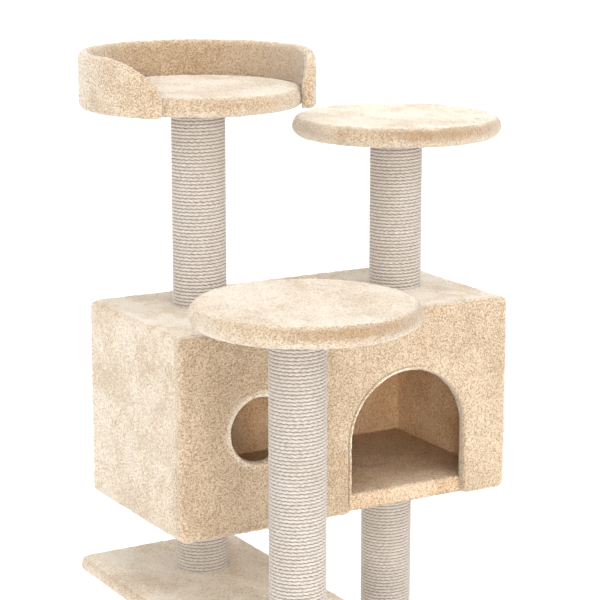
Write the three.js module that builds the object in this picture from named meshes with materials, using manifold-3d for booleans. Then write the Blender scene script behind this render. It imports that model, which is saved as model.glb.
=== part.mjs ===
// Cat tree: sisal-wound posts carry a low platform, a house with an arched door and a round
// window, two round platforms and a round bed with a raised rim.
// Millimetres, +Z up. The origin is the middle of the base's underside, and -Y is the front.
import * as THREE from "three";
import { mergeVertices } from "three/addons/utils/BufferGeometryUtils.js";
import Module from "manifold-3d";

const wasm = await Module();
wasm.setup();

// ---- Driving dimensions ----

const GAP = 0.3; // between touching pieces
const PLUSH = 4.5; // short-pile plush over a thin foam, glued to the boards
const LINING = 1.9; // thinner plush inside the house

const BASE = { width: 576, depth: 576, height: 22, corner: 24, edge: 8 };
const SHELF = { width: 254, depth: 576, underside: 325, height: 22, corner: 20, edge: 10 };
const HOUSE = { width: 540, depth: 289, height: 290, underside: 454.6, edge: 9 };
HOUSE.left = -275.8;
HOUSE.front = -34.2;
const HOUSE_BOARD = 8; // walls, roof and front panel
const FLOOR_BOARD = 17;

const DOOR = { centre: 94, width: 192, top: 199.8 }; // centre along X, top above the house's underside
const WINDOW = { centre: -149, height: 146, radius: 47 };

const POST = { diameter: 78, tube: 68, bore: 60, plug: 16 };
// A bolt reaches depth into the wood it holds. Its head has clearance round it, and lies sunk below a surface.
const BOLT = { diameter: 8, hole: 9, head: 20, headHeight: 4.5, depth: 13, clearance: 1, sunk: 1 };
const CLEAR = 10; // how far a cutter stands past what it cuts

// The bed's rim starts and stops at mouth, in degrees each side of the front, and reaches its full height
// over the next rise degrees. Its plush stands cushion above the strip, and past the strip's ends.
const RIM = { outer: 167, height: 78.4, topRadius: 8, strip: 3, mouth: 45, rise: 36, cushion: 8 };

const REAR_LEFT = [-147, 152];
const FRONT_LEFT = [-171, -169.6];
const LOWER_RIGHT = [177.6, 157.5];
const UPPER_RIGHT = [164.6, 118.7];

const shelfTop = SHELF.underside + SHELF.height;
const houseTop = HOUSE.underside + HOUSE.height;
const shelfCentreX = -BASE.width / 2 + SHELF.width / 2;

// A round platform: its radius, its underside, its thickness and how far its middle is off its post.
const FRONT_DISC = { at: FRONT_LEFT, shift: 12.2, radius: 154.3, underside: 780, thickness: 30.5 };
const RIGHT_DISC = { at: UPPER_RIGHT, shift: 0, radius: 154.3, underside: 971.7, thickness: 29 };
const BED = { at: REAR_LEFT, shift: 0, radius: 149.5, underside: 1030.8, thickness: 27.8 };

const POSTS = {
  rear_lower: { at: REAR_LEFT, from: BASE.height, to: SHELF.underside },
  front_lower: { at: FRONT_LEFT, from: BASE.height, to: SHELF.underside },
  right_lower: { at: LOWER_RIGHT, from: BASE.height, to: HOUSE.underside },
  short: { at: REAR_LEFT, from: shelfTop, to: HOUSE.underside },
  front_upper: { at: FRONT_LEFT, from: shelfTop, to: FRONT_DISC.underside },
  rear_upper: { at: REAR_LEFT, from: houseTop, to: BED.underside },
  right_upper: { at: UPPER_RIGHT, from: houseTop, to: RIGHT_DISC.underside },
};

// ---- Materials ----

function standard(color, roughness, metalness = 0) {
  return new THREE.MeshStandardMaterial({ color, roughness, metalness });
}

const plush = standard(0xe6cfae, 0.95);
const lining = standard(0xc9a57c, 0.95);
const sisal = standard(0xd8cbbd, 0.9);
const board = standard(0xb89468, 0.8);
const tubeBoard = standard(0xa9835a, 0.85);
const plugWood = standard(0xcfae7c, 0.75);
const steel = standard(0xb8bbbf, 0.35, 0.9);

// ---- Solids ----

// A closed three.js geometry as a solid that can be cut and joined.
function solid(geometry) {
  const bare = geometry.clone();
  bare.deleteAttribute("normal");
  bare.deleteAttribute("uv");
  const merged = mergeVertices(bare, 1e-4);
  return new wasm.Manifold(
    new wasm.Mesh({
      numProp: 3,
      vertProperties: merged.attributes.position.array,
      triVerts: new Uint32Array(merged.index.array),
    }),
  );
}

function geometryOf(shape) {
  const mesh = shape.getMesh();
  const geometry = new THREE.BufferGeometry();
  geometry.setAttribute("position", new THREE.BufferAttribute(mesh.vertProperties, 3));
  geometry.setIndex(new THREE.BufferAttribute(mesh.triVerts, 1));
  geometry.computeVertexNormals();
  return geometry;
}

const tree = new THREE.Group();

function add(name, geometry, material, position = [0, 0, 0]) {
  const mesh = new THREE.Mesh(geometry, material);
  mesh.name = name;
  mesh.position.set(...position);
  tree.add(mesh);
}

// A block from one corner to the opposite one.
function block([x0, y0, z0], [x1, y1, z1]) {
  const box = new THREE.BoxGeometry(x1 - x0, y1 - y0, z1 - z0);
  return box.translate((x0 + x1) / 2, (y0 + y1) / 2, (z0 + z1) / 2);
}

function roundedRectangle(width, height, radius) {
  const [w, h, r] = [width / 2, height / 2, radius];
  const shape = new THREE.Shape();
  shape.moveTo(-w + r, -h);
  shape.lineTo(w - r, -h).absarc(w - r, -h + r, r, -Math.PI / 2, 0, false);
  shape.lineTo(w, h - r).absarc(w - r, h - r, r, 0, Math.PI / 2, false);
  shape.lineTo(-w + r, h).absarc(-w + r, h - r, r, Math.PI / 2, Math.PI, false);
  shape.lineTo(-w, -h + r).absarc(-w + r, -h + r, r, Math.PI, Math.PI * 1.5, false);
  return shape;
}

// A slab with rounded corners and edges, centred on the origin in X and Y, from z = 0 up.
function softSlab(width, depth, height, corner, edge) {
  const shape = roundedRectangle(width - 2 * edge, depth - 2 * edge, corner - edge);
  const slab = new THREE.ExtrudeGeometry(shape, {
    depth: height - 2 * edge,
    bevelSize: edge,
    bevelThickness: edge,
    bevelSegments: 3,
    curveSegments: 3,
  });
  return slab.translate(0, 0, edge);
}

// A slab with rounded corners and plain edges, from z0 up.
function slab(width, depth, height, corner, z0 = 0) {
  const plain = new THREE.ExtrudeGeometry(roundedRectangle(width, depth, corner), {
    depth: height,
    bevelEnabled: false,
    curveSegments: 4,
  });
  return plain.translate(0, 0, z0);
}

// A round bar along Z, from z0 to z1.
function bar(radius, z0, z1, [x, y] = [0, 0], sides = 12) {
  const cylinder = new THREE.CylinderGeometry(radius, radius, z1 - z0, sides).rotateX(Math.PI / 2);
  return cylinder.translate(x, y, (z0 + z1) / 2);
}

// A turned piece from a list of [radius, z], which closes on itself or starts and ends at radius 0.
function turned(profile, segments) {
  const points = profile.map(([radius, z]) => new THREE.Vector2(radius, z));
  return new THREE.LatheGeometry(points, segments).rotateX(Math.PI / 2);
}

// A shape with a round hole from z0 to z1 at each of those places.
function drill(shape, holes, radius, z0, z1) {
  return holes.reduce((rest, at) => rest.subtract(solid(bar(radius, z0, z1, at))), shape);
}

// ---- Base and low platform ----

const baseHoles = [REAR_LEFT, FRONT_LEFT, LOWER_RIGHT];
const shelfHoles = [REAR_LEFT, FRONT_LEFT].map(([x, y]) => [x - shelfCentreX, y]);

const skinDepth = PLUSH + GAP; // from the outside to a board
const holeRadius = BOLT.hole / 2;
const headRoom = BOLT.head / 2 + BOLT.clearance;

// The base's cover wraps its top and sides. The board shows underneath, with the bolt heads sunk into it.
function addBase() {
  const { width, depth, height, corner, edge } = BASE;
  const boardHeight = height - skinDepth;
  const plain = solid(slab(width - 2 * skinDepth, depth - 2 * skinDepth, boardHeight, corner - skinDepth));
  const drilled = drill(plain, baseHoles, holeRadius, -CLEAR, height);
  const sunk = BOLT.headHeight + 2 * BOLT.sunk;
  add("base_board", geometryOf(drill(drilled, baseHoles, headRoom, -CLEAR, sunk)), board);

  // The rounded slab is taller than the cover by one edge, and that edge is cut off at the floor.
  const outer = solid(softSlab(width, depth, height + edge, corner, edge).translate(0, 0, -edge));
  const below = solid(block([-width, -depth, -height], [width, depth, GAP]));
  const roomHeight = height + CLEAR - PLUSH;
  const room = solid(slab(width - 2 * PLUSH, depth - 2 * PLUSH, roomHeight, corner - PLUSH, -CLEAR));
  const skin = outer.subtract(below).subtract(room);
  add("base_cover", geometryOf(drill(skin, baseHoles, holeRadius, 0, height + CLEAR)), plush);
}

function addShelf() {
  const { width, depth, height, corner, edge } = SHELF;
  const place = [shelfCentreX, 0, SHELF.underside];
  const inset = 2 * skinDepth;
  const plain = solid(slab(width - inset, depth - inset, height - inset, corner - skinDepth, skinDepth));
  add("shelf_board", geometryOf(drill(plain, shelfHoles, holeRadius, 0, height)), board, place);

  const thick = 2 * PLUSH;
  const room = solid(slab(width - thick, depth - thick, height - thick, corner - PLUSH, PLUSH));
  const skin = solid(softSlab(width, depth, height, corner, edge)).subtract(room);
  const cover = drill(skin, shelfHoles, holeRadius, -CLEAR, height + CLEAR);
  add("shelf_cover", geometryOf(cover), plush, place);
}

// ---- Posts: a cardboard tube wound with sisal, with a wooden plug in each end ----

const POST_SIDES = 24;
const PLUG_SIDES = 12;

const SHORTEST_TWO_PLUG_POST = 8 * POST.plug;

function ring(inner, outer, z0, z1, sides) {
  return turned([[inner, z0], [outer, z0], [outer, z1], [inner, z1], [inner, z0]], sides);
}

function addPost(name, { at, from, to }) {
  const place = [...at, 0];
  const [low, high] = [from + GAP, to - GAP];
  const tubeRadius = POST.tube / 2;
  const plugRadius = POST.bore / 2 - GAP;
  const addPlug = (plugName, z0, z1) =>
    add(`${name}_post_${plugName}`, ring(holeRadius, plugRadius, z0, z1, PLUG_SIDES), plugWood, place);

  add(`${name}_post_tube`, ring(POST.bore / 2, tubeRadius, low, high, POST_SIDES), tubeBoard, place);
  const rope = ring(tubeRadius + GAP, POST.diameter / 2, low, high, POST_SIDES);
  add(`${name}_post_sisal`, rope, sisal, place);
  if (high - low < SHORTEST_TWO_PLUG_POST) {
    addPlug("plug", low, high);
  } else {
    addPlug("bottom_plug", low, low + POST.plug);
    addPlug("top_plug", high - POST.plug, high);
  }
}

// ---- Fasteners ----

const BOLT_SIDES = 10;

// A bolt with its head at z and its shank running up, or down where length is negative.
function addBolt(name, at, z, length) {
  const [shank, head] = [BOLT.diameter / 2, BOLT.head / 2];
  const up = Math.sign(length);
  const profile = [
    [0, 0],
    [head - 1, 0],
    [head, up],
    [head, up * BOLT.headHeight],
    [shank, up * BOLT.headHeight],
    [shank, length],
    [0, length],
  ];
  if (up < 0) profile.reverse();
  add(name, turned(profile, BOLT_SIDES), steel, [...at, z]);
}

function addStud(name, at, z0, z1) {
  add(name, bar(BOLT.diameter / 2, z0, z1, [0, 0], BOLT_SIDES), steel, [...at, 0]);
}

function addFasteners() {
  const baseReach = BASE.height + BOLT.depth - BOLT.sunk;
  addBolt("base_bolt_rear_left", REAR_LEFT, BOLT.sunk, baseReach);
  addBolt("base_bolt_front_left", FRONT_LEFT, BOLT.sunk, baseReach);
  addBolt("base_bolt_right", LOWER_RIGHT, BOLT.sunk, baseReach);
  addStud("shelf_stud_rear", REAR_LEFT, SHELF.underside - BOLT.depth, shelfTop + BOLT.depth);
  addStud("shelf_stud_front", FRONT_LEFT, SHELF.underside - BOLT.depth, shelfTop + BOLT.depth);

  // The floor's bolt heads are sunk into its board, under the lining. The roof's board is too thin for that.
  const floorHead = HOUSE.underside + skinDepth + FLOOR_BOARD - BOLT.sunk;
  const floorReach = floorHead - HOUSE.underside + BOLT.depth;
  addBolt("floor_bolt_left", REAR_LEFT, floorHead, -floorReach);
  addBolt("floor_bolt_right", LOWER_RIGHT, floorHead, -floorReach);

  const roofBoardUnder = houseTop - skinDepth - HOUSE_BOARD;
  const roofHead = roofBoardUnder - GAP - BOLT.headHeight;
  const roofReach = houseTop - roofHead + BOLT.depth;
  addBolt("roof_bolt_left", REAR_LEFT, roofHead, roofReach);
  addBolt("roof_bolt_right", UPPER_RIGHT, roofHead, roofReach);

  const discStuds = { front_disc: FRONT_DISC, right_disc: RIGHT_DISC, bed: BED };
  for (const [name, disc] of Object.entries(discStuds)) {
    addStud(`${name}_stud`, disc.at, disc.underside - BOLT.depth, disc.underside + BOLT.depth);
  }
}

// ---- House ----

// The house's own corner is its lower front left one.
const housePlace = [HOUSE.left, HOUSE.front, HOUSE.underside];
const inHouse = ([x, y]) => [x - HOUSE.left, y - HOUSE.front];

const frontDepth = skinDepth + HOUSE_BOARD; // to the back of the front panel's board
const bodyStart = frontDepth + GAP + LINING + GAP; // where the side boards begin

// The door: an arch, open at the bottom, wider than the finished opening by grow on each side.
function doorShape(grow) {
  const radius = DOOR.width / 2 + grow;
  const spring = DOOR.top - DOOR.width / 2;
  const centre = DOOR.centre - HOUSE.left;
  const shape = new THREE.Shape();
  shape.moveTo(centre - radius, -CLEAR);
  shape.lineTo(centre + radius, -CLEAR);
  shape.lineTo(centre + radius, spring);
  shape.absarc(centre, spring, radius, 0, Math.PI, false);
  return shape;
}

function windowShape(grow) {
  const shape = new THREE.Shape();
  shape.absarc(WINDOW.centre - HOUSE.left, WINDOW.height, WINDOW.radius + grow, 0, Math.PI * 2, false);
  return shape;
}

// An outline in the X-Z plane made solid from y0 back to y1.
function through(shape, y0, y1, curveSegments = 12) {
  const cut = new THREE.ExtrudeGeometry(shape, { depth: y1 - y0, bevelEnabled: false, curveSegments });
  return solid(cut.rotateX(Math.PI / 2).translate(0, y1, 0));
}

function openings(grow, y0, y1) {
  return through(doorShape(grow), y0, y1).add(through(windowShape(grow), y0, y1));
}

// The whole outside, a box with rounded edges.
function houseShell() {
  const { width, depth, height, edge } = HOUSE;
  const lying = softSlab(width, height, depth, edge + 2, edge);
  return solid(lying.rotateX(Math.PI / 2).translate(width / 2, depth, height / 2));
}

// Everything in the house further back than y.
function behind(y) {
  const { width, depth, height } = HOUSE;
  return solid(block([-CLEAR, y, -CLEAR], [width + CLEAR, depth + CLEAR, height + CLEAR]));
}

function putInHouse(name, shape, material) {
  add(name, geometryOf(shape), material, housePlace);
}

const floorHoles = [REAR_LEFT, LOWER_RIGHT].map(inHouse);
const roofHoles = [REAR_LEFT, UPPER_RIGHT].map(inHouse);
const [boardLeft, boardRight] = [skinDepth, HOUSE.width - skinDepth];
const [boardBottom, boardTop] = [skinDepth, HOUSE.height - skinDepth];
const boardBack = HOUSE.depth - skinDepth;
const floorTop = boardBottom + FLOOR_BOARD;
const roofUnder = boardTop - HOUSE_BOARD;
const rearFront = boardBack - HOUSE_BOARD;

function addHouseBoards() {
  const panel = solid(block([boardLeft, skinDepth, boardBottom], [boardRight, frontDepth, boardTop]));
  putInHouse("house_front_board", panel.subtract(openings(skinDepth, 0, frontDepth + CLEAR)), board);

  const floor = solid(block([boardLeft, bodyStart, boardBottom], [boardRight, boardBack, floorTop]));
  const sunkTo = floorTop - BOLT.headHeight - 2 * BOLT.sunk;
  const sunkFloor = drill(floor, floorHoles, headRoom, sunkTo, floorTop + CLEAR);
  putInHouse("house_floor_board", drill(sunkFloor, floorHoles, holeRadius, 0, floorTop), board);

  const roof = solid(block([boardLeft, bodyStart, roofUnder], [boardRight, boardBack, boardTop]));
  putInHouse("house_roof_board", drill(roof, roofHoles, holeRadius, 0, HOUSE.height), board);

  const [low, high] = [floorTop + GAP, roofUnder - GAP];
  const rear = block([boardLeft, rearFront, low], [boardRight, boardBack, high]);
  putInHouse("house_back_board", solid(rear), board);
  const sideEnd = rearFront - GAP;
  const left = block([boardLeft, bodyStart, low], [boardLeft + HOUSE_BOARD, sideEnd, high]);
  putInHouse("house_left_board", solid(left), board);
  const right = block([boardRight - HOUSE_BOARD, bodyStart, low], [boardRight, sideEnd, high]);
  putInHouse("house_right_board", solid(right), board);
}

function addHouseCovers() {
  const { width, depth, height } = HOUSE;
  const outside = houseShell();
  const panelEnd = frontDepth + GAP;

  // The front panel's own cover, turned in round the door, the window and the panel's edges.
  const pocket = solid(block([PLUSH, PLUSH, PLUSH], [width - PLUSH, depth, height - PLUSH]));
  const frontCover = outside
    .subtract(pocket.subtract(openings(PLUSH, -CLEAR, depth)))
    .subtract(openings(0, -CLEAR, depth + CLEAR))
    .subtract(behind(panelEnd));
  putInHouse("house_front_cover", frontCover, plush);

  // One sewn cover over the floor, sides, roof and back.
  const hollow = solid(block([PLUSH, -CLEAR, PLUSH], [width - PLUSH, depth - PLUSH, height - PLUSH]));
  const sock = outside.subtract(hollow).intersect(behind(panelEnd + GAP));
  const sockFloor = drill(sock, floorHoles, holeRadius, -CLEAR, boardBottom);
  putInHouse("house_outer_cover", drill(sockFloor, roofHoles, holeRadius, boardTop, height + CLEAR), plush);
}

// The lining is on every inside wall, with its front sheet behind the front panel.
function addHouseLining() {
  const [left, right] = [boardLeft + HOUSE_BOARD + GAP, boardRight - HOUSE_BOARD - GAP];
  const [bottom, top] = [floorTop + GAP, roofUnder - GAP];
  const back = rearFront - GAP;
  const sheetFront = frontDepth + GAP;
  const sheetBack = sheetFront + LINING;
  const tube = solid(block([left, sheetFront, bottom], [right, back, top]));
  const sheet = solid(block([boardLeft, sheetFront, boardBottom], [boardRight, sheetBack, boardTop]));
  const cabinLow = [left + LINING, sheetBack, bottom + LINING];
  const cabin = solid(block(cabinLow, [right - LINING, back - LINING, top - LINING]));
  const walls = tube.add(sheet).subtract(cabin);

  const overFloor = block([0, 0, bottom + LINING], [HOUSE.width, HOUSE.depth, HOUSE.height]);
  const doorway = openings(PLUSH, -CLEAR, bodyStart).intersect(solid(overFloor));
  const open = drill(walls.subtract(doorway), roofHoles, headRoom, top - CLEAR, boardTop);
  putInHouse("house_lining", open, lining);
}

// ---- Round platforms ----

const DISC_SIDES = 36;
const DISC_EDGE_STEPS = 5;

// Points along an arc of a profile, as [radius, z].
function arc(radius, z, size, from, to, steps) {
  const points = [];
  for (let i = 0; i <= steps; i += 1) {
    const angle = from + ((to - from) * i) / steps;
    points.push([radius + size * Math.cos(angle), z + size * Math.sin(angle)]);
  }
  return points;
}

// A round platform's outline, inset from the finished surface: flat faces and a fully rounded edge.
function discSolid({ radius, thickness }, inset) {
  const half = thickness / 2;
  const flat = radius - half;
  const edge = arc(flat, half, half - inset, -Math.PI / 2, Math.PI / 2, DISC_EDGE_STEPS);
  return solid(turned([[0, inset], ...edge, [0, thickness - inset]], DISC_SIDES));
}

function addDisc(name, disc) {
  const place = [disc.at[0] + disc.shift, disc.at[1], disc.underside];
  const studHole = (depth) => solid(bar(holeRadius, -CLEAR, depth, [-disc.shift, 0]));
  const core = discSolid(disc, skinDepth).subtract(studHole(BOLT.depth + 1));
  add(`${name}_board`, geometryOf(core), board, place);
  const skin = discSolid(disc, 0).subtract(discSolid(disc, PLUSH));
  add(`${name}_cover`, geometryOf(skin.subtract(studHole(PLUSH + 1))), plush, place);
}

// ---- The bed's raised rim, with a mouth at the front ----

const RIM_SIDES = 44;
const SHOULDER_STEPS = 8;

const radians = (degrees) => (degrees * Math.PI) / 180;
const rimEdge = RIM.outer - RIM.topRadius;

// What is cut away to leave the mouth: everything in front, above shoulders that start steeply at the
// bed's own thickness and level out at the rim's full height. The whole cut may be lowered.
function mouth(lowered) {
  const sill = BED.thickness - lowered;
  const rise = RIM.height - BED.thickness;
  const shoulder = [];
  for (let i = 0; i <= SHOULDER_STEPS; i += 1) {
    const part = i / SHOULDER_STEPS;
    const turn = radians(RIM.mouth - 90 + RIM.rise * part);
    shoulder.push([rimEdge * Math.cos(turn), sill + rise * Math.sin((Math.PI / 2) * part) ** 0.6]);
  }
  const [[end]] = shoulder;
  const past = RIM.outer + CLEAR;
  const shape = new THREE.Shape();
  shape.moveTo(-end, -CLEAR);
  shape.lineTo(end, -CLEAR);
  for (const [x, z] of shoulder) shape.lineTo(x, z);
  shape.lineTo(past, sill + rise);
  shape.lineTo(past, RIM.height + CLEAR);
  shape.lineTo(-past, RIM.height + CLEAR);
  shape.lineTo(-past, sill + rise);
  for (const [x, z] of shoulder.reverse()) shape.lineTo(-x, z);
  const backY = RIM.outer * Math.sin(radians(RIM.mouth + RIM.rise - 90));
  return through(shape, -past, backY);
}

// Blocks that end the stiff strip short of the rim's two ends.
function endStops(back) {
  const x = rimEdge * Math.cos(radians(RIM.mouth - 90)) + back;
  return solid(block([-x, -RIM.outer - CLEAR, -CLEAR], [x, 0, RIM.height + CLEAR]));
}

function addRim() {
  const inner = BED.radius + GAP;
  const middle = (inner + RIM.outer) / 2;
  const top = RIM.height - RIM.topRadius;
  const place = [BED.at[0], BED.at[1], BED.underside];
  const crown = [
    ...arc(rimEdge, top, RIM.topRadius, 0, Math.PI / 2, 3),
    ...arc(inner + RIM.topRadius, top, RIM.topRadius, Math.PI / 2, Math.PI, 3),
  ];
  const full = solid(turned([[inner, 0], [RIM.outer, 0], ...crown, [inner, 0]], RIM_SIDES));
  const half = RIM.strip / 2;
  const stripTop = RIM.height - RIM.cushion;
  const slotWalls = [middle - half - GAP, middle + half + GAP];
  const slot = solid(ring(...slotWalls, -CLEAR, stripTop + GAP, RIM_SIDES))
    .subtract(mouth(RIM.cushion))
    .subtract(endStops(RIM.cushion));
  add("bed_rim_cover", geometryOf(full.subtract(mouth(0)).subtract(slot)), plush, place);

  const strip = solid(ring(middle - half, middle + half, 0, stripTop, RIM_SIDES))
    .subtract(mouth(RIM.cushion + GAP))
    .subtract(endStops(RIM.cushion + GAP));
  add("bed_rim_strip", geometryOf(strip), board, place);
}

// ---- The tree ----

addBase();
addShelf();
for (const [name, post] of Object.entries(POSTS)) addPost(name, post);
addFasteners();
addHouseBoards();
addHouseCovers();
addHouseLining();
addDisc("front_disc", FRONT_DISC);
addDisc("right_disc", RIGHT_DISC);
addDisc("bed", BED);
addRim();

export default tree;
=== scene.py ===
"""The cat tree's looks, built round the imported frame. Metres, in the frame's axes: +Z up, -Y the front."""

import math

import bmesh
import bpy
import numpy as np
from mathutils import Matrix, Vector, geometry, kdtree


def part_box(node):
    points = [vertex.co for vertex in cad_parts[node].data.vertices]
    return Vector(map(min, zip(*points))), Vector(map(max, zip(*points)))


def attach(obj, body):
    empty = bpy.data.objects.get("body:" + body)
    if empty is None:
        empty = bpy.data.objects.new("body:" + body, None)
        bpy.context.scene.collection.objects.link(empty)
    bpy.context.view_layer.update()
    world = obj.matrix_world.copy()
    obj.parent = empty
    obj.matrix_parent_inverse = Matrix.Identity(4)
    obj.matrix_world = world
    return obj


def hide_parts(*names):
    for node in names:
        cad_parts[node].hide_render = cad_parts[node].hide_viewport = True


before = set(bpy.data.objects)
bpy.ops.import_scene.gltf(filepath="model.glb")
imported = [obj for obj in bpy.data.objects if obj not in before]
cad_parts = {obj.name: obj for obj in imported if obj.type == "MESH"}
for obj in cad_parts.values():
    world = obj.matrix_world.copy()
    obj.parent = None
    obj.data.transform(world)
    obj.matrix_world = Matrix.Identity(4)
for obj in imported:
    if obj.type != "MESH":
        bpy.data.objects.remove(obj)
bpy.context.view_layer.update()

MM = 0.001
TAU = 2 * math.pi
BODY = "root"
X, Y, Z = np.eye(3)


# ---- Camera, floor and lights ----

CAMERA_PLACE = Vector((-1.5137, -2.4846, 1.4048))
CAMERA_YAW = math.radians(30.18)
CAMERA_PITCH = math.radians(12.46)
CAMERA_LENS = 126.6
AMBIENT, AMBIENT_STRENGTH = (1.0, 0.985, 0.965), 0.85
FLOOR_HALF = 60.0
FLOOR_GREY = (0.93, 0.93, 0.93)

# Name, azimuth clockwise from the front seen from above, elevation, strength, angle across, colour. Degrees.
SUNS = (
    ("key", -14, 76, 1.35, 45, (0.98, 0.99, 1.02)),
    ("middle", 5, 36, 0.50, 30, (1.0, 0.98, 0.96)),
    ("low_right", -12, 9, 0.55, 26, (1.0, 0.97, 0.93)),
    ("low_left", 31, 10, 0.88, 10, (1.0, 0.96, 0.90)),
    ("side", 126, 18, 0.50, 36, (1.0, 0.98, 0.95)),
)


def add_camera():
    data = bpy.data.cameras.new("camera")
    data.lens, data.sensor_width = CAMERA_LENS, 36.0
    data.clip_start, data.clip_end = 0.05, 200.0
    camera = bpy.data.objects.new("camera", data)
    camera.location = CAMERA_PLACE
    camera.rotation_euler = (math.pi / 2 - CAMERA_PITCH, 0.0, -CAMERA_YAW)
    bpy.context.scene.collection.objects.link(camera)
    bpy.context.scene.camera = camera


def add_sun(name, azimuth, elevation, strength, softness, colour):
    data = bpy.data.lights.new(name, "SUN")
    data.energy, data.angle, data.color = strength, math.radians(softness), colour
    sun = bpy.data.objects.new(name, data)
    a, e = math.radians(azimuth), math.radians(elevation)
    source = Vector((-math.sin(a) * math.cos(e), -math.cos(a) * math.cos(e), math.sin(e)))
    sun.rotation_euler = source.to_track_quat("Z", "Y").to_euler()
    bpy.context.scene.collection.objects.link(sun)


def add_lights():
    world = bpy.data.worlds.new("studio")
    world.use_nodes = True
    background = world.node_tree.nodes["Background"]
    background.inputs["Color"].default_value = (*AMBIENT, 1.0)
    background.inputs["Strength"].default_value = AMBIENT_STRENGTH
    bpy.context.scene.world = world
    for sun in SUNS:
        add_sun(*sun)


def add_floor():
    mesh = bpy.data.meshes.new("floor")
    corners = [(x * FLOOR_HALF, y * FLOOR_HALF, 0) for x, y in ((-1, -1), (1, -1), (1, 1), (-1, 1))]
    mesh.from_pydata(corners, [], [(0, 1, 2, 3)])
    floor = bpy.data.objects.new("floor", mesh)
    bpy.context.scene.collection.objects.link(floor)
    material = bpy.data.materials.new("floor")
    material.use_nodes = True
    shader = material.node_tree.nodes["Principled BSDF"]
    shader.inputs["Base Color"].default_value = (*FLOOR_GREY, 1.0)
    shader.inputs["Roughness"].default_value = 0.9
    mesh.materials.append(material)


def set_view():
    settings = bpy.context.scene.view_settings
    settings.view_transform = "Standard"
    settings.look = "None"


# ---- Materials ----


class Nodes:
    """A material's node tree, with short calls for the nodes used here."""

    def __init__(self, name):
        self.material = bpy.data.materials.new(name)
        self.material.use_nodes = True
        self.tree = self.material.node_tree
        self.shader = self.tree.nodes["Principled BSDF"]
        self.place = self.tree.nodes.new("ShaderNodeTexCoord").outputs["Object"]

    def link(self, source, target):
        self.tree.links.new(source, target)

    def feed(self, value, socket):
        """Sets a number or a colour directly on the socket, and links anything else to it."""
        if isinstance(value, (int, float)):
            socket.default_value = value
        elif isinstance(value, tuple):
            socket.default_value = (*value, 1.0)
        else:
            self.link(value, socket)

    def stretched(self, scale, turn=(0, 0, 0)):
        node = self.tree.nodes.new("ShaderNodeMapping")
        node.inputs["Scale"].default_value = scale
        node.inputs["Rotation"].default_value = turn
        self.link(self.place, node.inputs["Vector"])
        return node.outputs["Vector"]

    def noise(self, size, detail=2.0, roughness=0.5, distortion=0.0, place=None):
        """Noise whose blobs are about size metres across."""
        node = self.tree.nodes.new("ShaderNodeTexNoise")
        node.inputs["Scale"].default_value = 1.0 / size
        node.inputs["Detail"].default_value = detail
        node.inputs["Roughness"].default_value = roughness
        node.inputs["Distortion"].default_value = distortion
        self.link(place or self.place, node.inputs["Vector"])
        return node.outputs["Fac"]

    def ramp(self, value, stops):
        node = self.tree.nodes.new("ShaderNodeValToRGB")
        ramp = node.color_ramp
        while len(ramp.elements) < len(stops):
            ramp.elements.new(0.5)
        for element, (position, colour) in zip(ramp.elements, stops):
            element.position = position
            element.color = (*colour, 1.0)
        self.link(value, node.inputs["Fac"])
        return node.outputs["Color"]

    def grey(self, value, low, high, bottom=0.0, top=1.0):
        node = self.tree.nodes.new("ShaderNodeMapRange")
        node.interpolation_type = "SMOOTHSTEP"
        for key, number in zip(("From Min", "From Max", "To Min", "To Max"), (low, high, bottom, top)):
            node.inputs[key].default_value = number
        self.link(value, node.inputs["Value"])
        return node.outputs["Result"]

    def mix(self, factor, a, b, mode="MIX"):
        node = self.tree.nodes.new("ShaderNodeMix")
        node.data_type = "RGBA"
        node.blend_type = mode
        for value, socket in zip((factor, a, b), (node.inputs[0], node.inputs[6], node.inputs[7])):
            self.feed(value, socket)
        return node.outputs[2]

    def tint(self, base, value, dark, light, strength=0.5):
        """base multiplied by colours from dark to light, as value goes from 0.3 to 0.7."""
        return self.mix(strength, base, self.ramp(value, [(0.3, dark), (0.7, light)]), "MULTIPLY")

    def maths(self, operation, a, b):
        node = self.tree.nodes.new("ShaderNodeMath")
        node.operation = operation
        for value, socket in zip((a, b), node.inputs):
            self.feed(value, socket)
        return node.outputs["Value"]

    def attribute(self, name):
        node = self.tree.nodes.new("ShaderNodeAttribute")
        node.attribute_name = name
        return node.outputs["Fac"]

    def bump(self, height, distance, strength=1.0, under=None):
        node = self.tree.nodes.new("ShaderNodeBump")
        node.inputs["Distance"].default_value = distance
        node.inputs["Strength"].default_value = strength
        self.link(height, node.inputs["Height"])
        if under:
            self.link(under, node.inputs["Normal"])
        return node.outputs["Normal"]

    def finish(self, colour, roughness, normal=None, **constants):
        self.link(colour, self.shader.inputs["Base Color"])
        self.feed(roughness, self.shader.inputs["Roughness"])
        if normal:
            self.link(normal, self.shader.inputs["Normal"])
        for name, value in constants.items():
            self.shader.inputs[name.replace("_", " ")].default_value = value
        return self.material


TUFT, TIP_HIGHLIGHT, FIBRE = 0.0025, 0.0019, 0.0010  # across one tuft, one painted highlight on a tip, and one fibre
NAP, STREAK = 0.075, 0.020  # across a patch where the nap lies over, and a streak in it
LEAN_SCALE, LEAN_TURN = (1.0, 0.8, 0.8), (0.0, 0.6, 0.5)
RAGGED = 0.28  # how much the tufts break up a patch's edge
PARTED_SHADE = 0.68  # how dark the pile goes where it opens round an edge, and where shade is painted
RAMP_STOPS = (0.38, 0.50, 0.62)


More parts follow.
